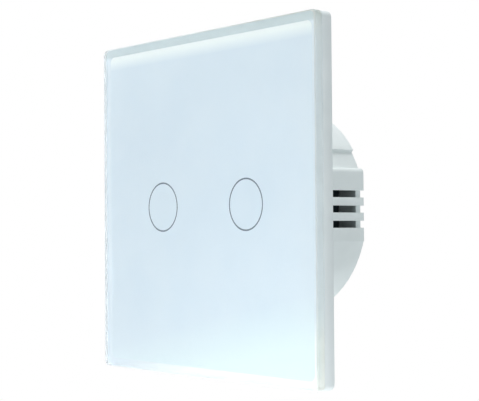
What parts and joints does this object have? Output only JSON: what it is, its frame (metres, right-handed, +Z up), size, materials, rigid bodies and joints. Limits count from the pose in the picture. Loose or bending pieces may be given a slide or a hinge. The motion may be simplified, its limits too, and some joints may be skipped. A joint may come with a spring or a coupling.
{
  "type": "touch light switch",
  "caption": "Touch light switch: a square glass panel with touch rings, in a thin frame, on a round vented wall-box module that holds relays and screw terminals.",
  "frame": {"origin": "centre of the square front panel's back, on the wall plane, where the bearing plate and the panel frame meet the wall", "axes": "+X to the right as seen from the room, +Y into the wall towards the rear of the module, +Z up; the glass faces -Y"},
  "size_m": [0.08, 0.03, 0.08],
  "materials": {
    "clear_glass": "polished toughened glass with a faint green edge",
    "white_print": "white ink fired on the back of the glass",
    "ring_ink": "translucent grey ink line",
    "frame_plastic": "satin white moulded plastic",
    "cover_plastic": "satin white moulded plastic",
    "housing_plastic": "fine matt white moulded plastic",
    "zinc_steel": "zinc plated steel",
    "spring_steel": "bright drawn spring steel",
    "board_laminate": "green solder resist over glass laminate",
    "black_plastic": "black moulded resin",
    "tinned_metal": "tinned copper",
    "lamp_resin": "clear lamp resin",
    "guide_acrylic": "frosted clear acrylic",
    "relay_base_plastic": "black moulded plastic",
    "relay_case_plastic": "dark blue moulded plastic",
    "bobbin_plastic": "natural glass filled plastic",
    "copper_wire": "enamelled copper wire",
    "soft_iron": "nickel plated soft iron",
    "contact_alloy": "rolled copper alloy",
    "silver_alloy": "silver contact alloy",
    "cage_brass": "nickel plated brass",
    "terminal_plastic": "grey flame retardant plastic",
    "capacitor_sleeve": "shrunk plastic sleeve",
    "film_resin": "yellow moulded resin",
    "varistor_resin": "blue dipped resin",
    "fuse_case": "brown moulded case",
    "ferrite": "sintered ferrite"
  },
  "bodies": {
    "switch_module": {"panel_clips": "spring_steel", "bearing_plate": "zinc_steel", "front_cover": "cover_plastic", "rear_housing": "housing_plastic", "housing_screws": "zinc_steel", "touch_board": "board_laminate", "touch_board_screws": "zinc_steel", "indicator_lamps": "lamp_resin", "touch_chip": "black_plastic", "chip_legs": "tinned_metal", "pin_strip": "black_plastic", "header_pins": "tinned_metal", "socket_strip": "black_plastic", "power_board": "board_laminate", "terminal_block": "terminal_plastic", "terminal_tabs": "contact_alloy", "smoothing_capacitor": "capacitor_sleeve", "film_capacitor": "film_resin", "varistor": "varistor_resin", "fuse": "fuse_case", "choke": "ferrite", "component_legs": "tinned_metal", "light_guide_left": "guide_acrylic", "touch_spring_left": "spring_steel", "relay_base_left": "relay_base_plastic", "relay_case_left": "relay_case_plastic", "coil_bobbin_left": "bobbin_plastic", "coil_winding_left": "copper_wire", "relay_core_left": "soft_iron", "relay_yoke_left": "soft_iron", "coil_pins_left": "tinned_metal", "fixed_contact_left": "contact_alloy", "light_guide_right": "guide_acrylic", "touch_spring_right": "spring_steel", "relay_base_right": "relay_base_plastic", "relay_case_right": "relay_case_plastic", "coil_bobbin_right": "bobbin_plastic", "coil_winding_right": "copper_wire", "relay_core_right": "soft_iron", "relay_yoke_right": "soft_iron", "coil_pins_right": "tinned_metal", "fixed_contact_right": "contact_alloy"},
    "front_panel": {"glass_panel": "clear_glass", "back_print": "white_print", "touch_rings": "ring_ink", "panel_frame": "frame_plastic"},
    "relay_arm_left": {"armature_left": "soft_iron", "contact_blade_left": "contact_alloy", "moving_contact_left": "silver_alloy"},
    "relay_arm_right": {"armature_right": "soft_iron", "contact_blade_right": "contact_alloy", "moving_contact_right": "silver_alloy"},
    "clamp_screw_1": {"terminal_screw_1": "zinc_steel"},
    "wire_clamp_1": {"clamp_cage_1": "cage_brass"},
    "clamp_screw_2": {"terminal_screw_2": "zinc_steel"},
    "wire_clamp_2": {"clamp_cage_2": "cage_brass"},
    "clamp_screw_3": {"terminal_screw_3": "zinc_steel"},
    "wire_clamp_3": {"clamp_cage_3": "cage_brass"}
  },
  "joints": [
    {"name": "panel_pull_off", "type": "slide", "parent": "switch_module", "child": "front_panel", "axis": [0, -1, 0], "range_m": [0, 0.02], "deforming": ["panel_clips"]},
    {"name": "relay_switching_left", "type": "hinge", "parent": "switch_module", "child": "relay_arm_left", "pos_m": [-0.012, 0.01975, -0.00705], "axis": [1, 0, 0], "range_deg": [0, 4], "stiffness_Nm_per_rad": 0.003},
    {"name": "relay_switching_right", "type": "hinge", "parent": "switch_module", "child": "relay_arm_right", "pos_m": [0.012, 0.01975, -0.00705], "axis": [1, 0, 0], "range_deg": [0, 4], "stiffness_Nm_per_rad": 0.003},
    {"name": "terminal_screw_turn_1", "type": "hinge", "parent": "switch_module", "child": "clamp_screw_1", "pos_m": [-0.0064, 0.021, -0.01685], "axis": [0, -1, 0], "range_deg": [0, 1872]},
    {"name": "clamp_rise_1", "type": "slide", "parent": "switch_module", "child": "wire_clamp_1", "axis": [0, 1, 0], "range_m": [0, 0.0026]},
    {"name": "terminal_screw_turn_2", "type": "hinge", "parent": "switch_module", "child": "clamp_screw_2", "pos_m": [0, 0.021, -0.01685], "axis": [0, -1, 0], "range_deg": [0, 1872]},
    {"name": "clamp_rise_2", "type": "slide", "parent": "switch_module", "child": "wire_clamp_2", "axis": [0, 1, 0], "range_m": [0, 0.0026]},
    {"name": "terminal_screw_turn_3", "type": "hinge", "parent": "switch_module", "child": "clamp_screw_3", "pos_m": [0.0064, 0.021, -0.01685], "axis": [0, -1, 0], "range_deg": [0, 1872]},
    {"name": "clamp_rise_3", "type": "slide", "parent": "switch_module", "child": "wire_clamp_3", "axis": [0, 1, 0], "range_m": [0, 0.0026]}
  ],
  "couplings": [
    {"joint": "terminal_screw_turn_1", "follows": "clamp_rise_1", "rad_per_m": 12566},
    {"joint": "terminal_screw_turn_2", "follows": "clamp_rise_2", "rad_per_m": 12566},
    {"joint": "terminal_screw_turn_3", "follows": "clamp_rise_3", "rad_per_m": 12566}
  ]
}
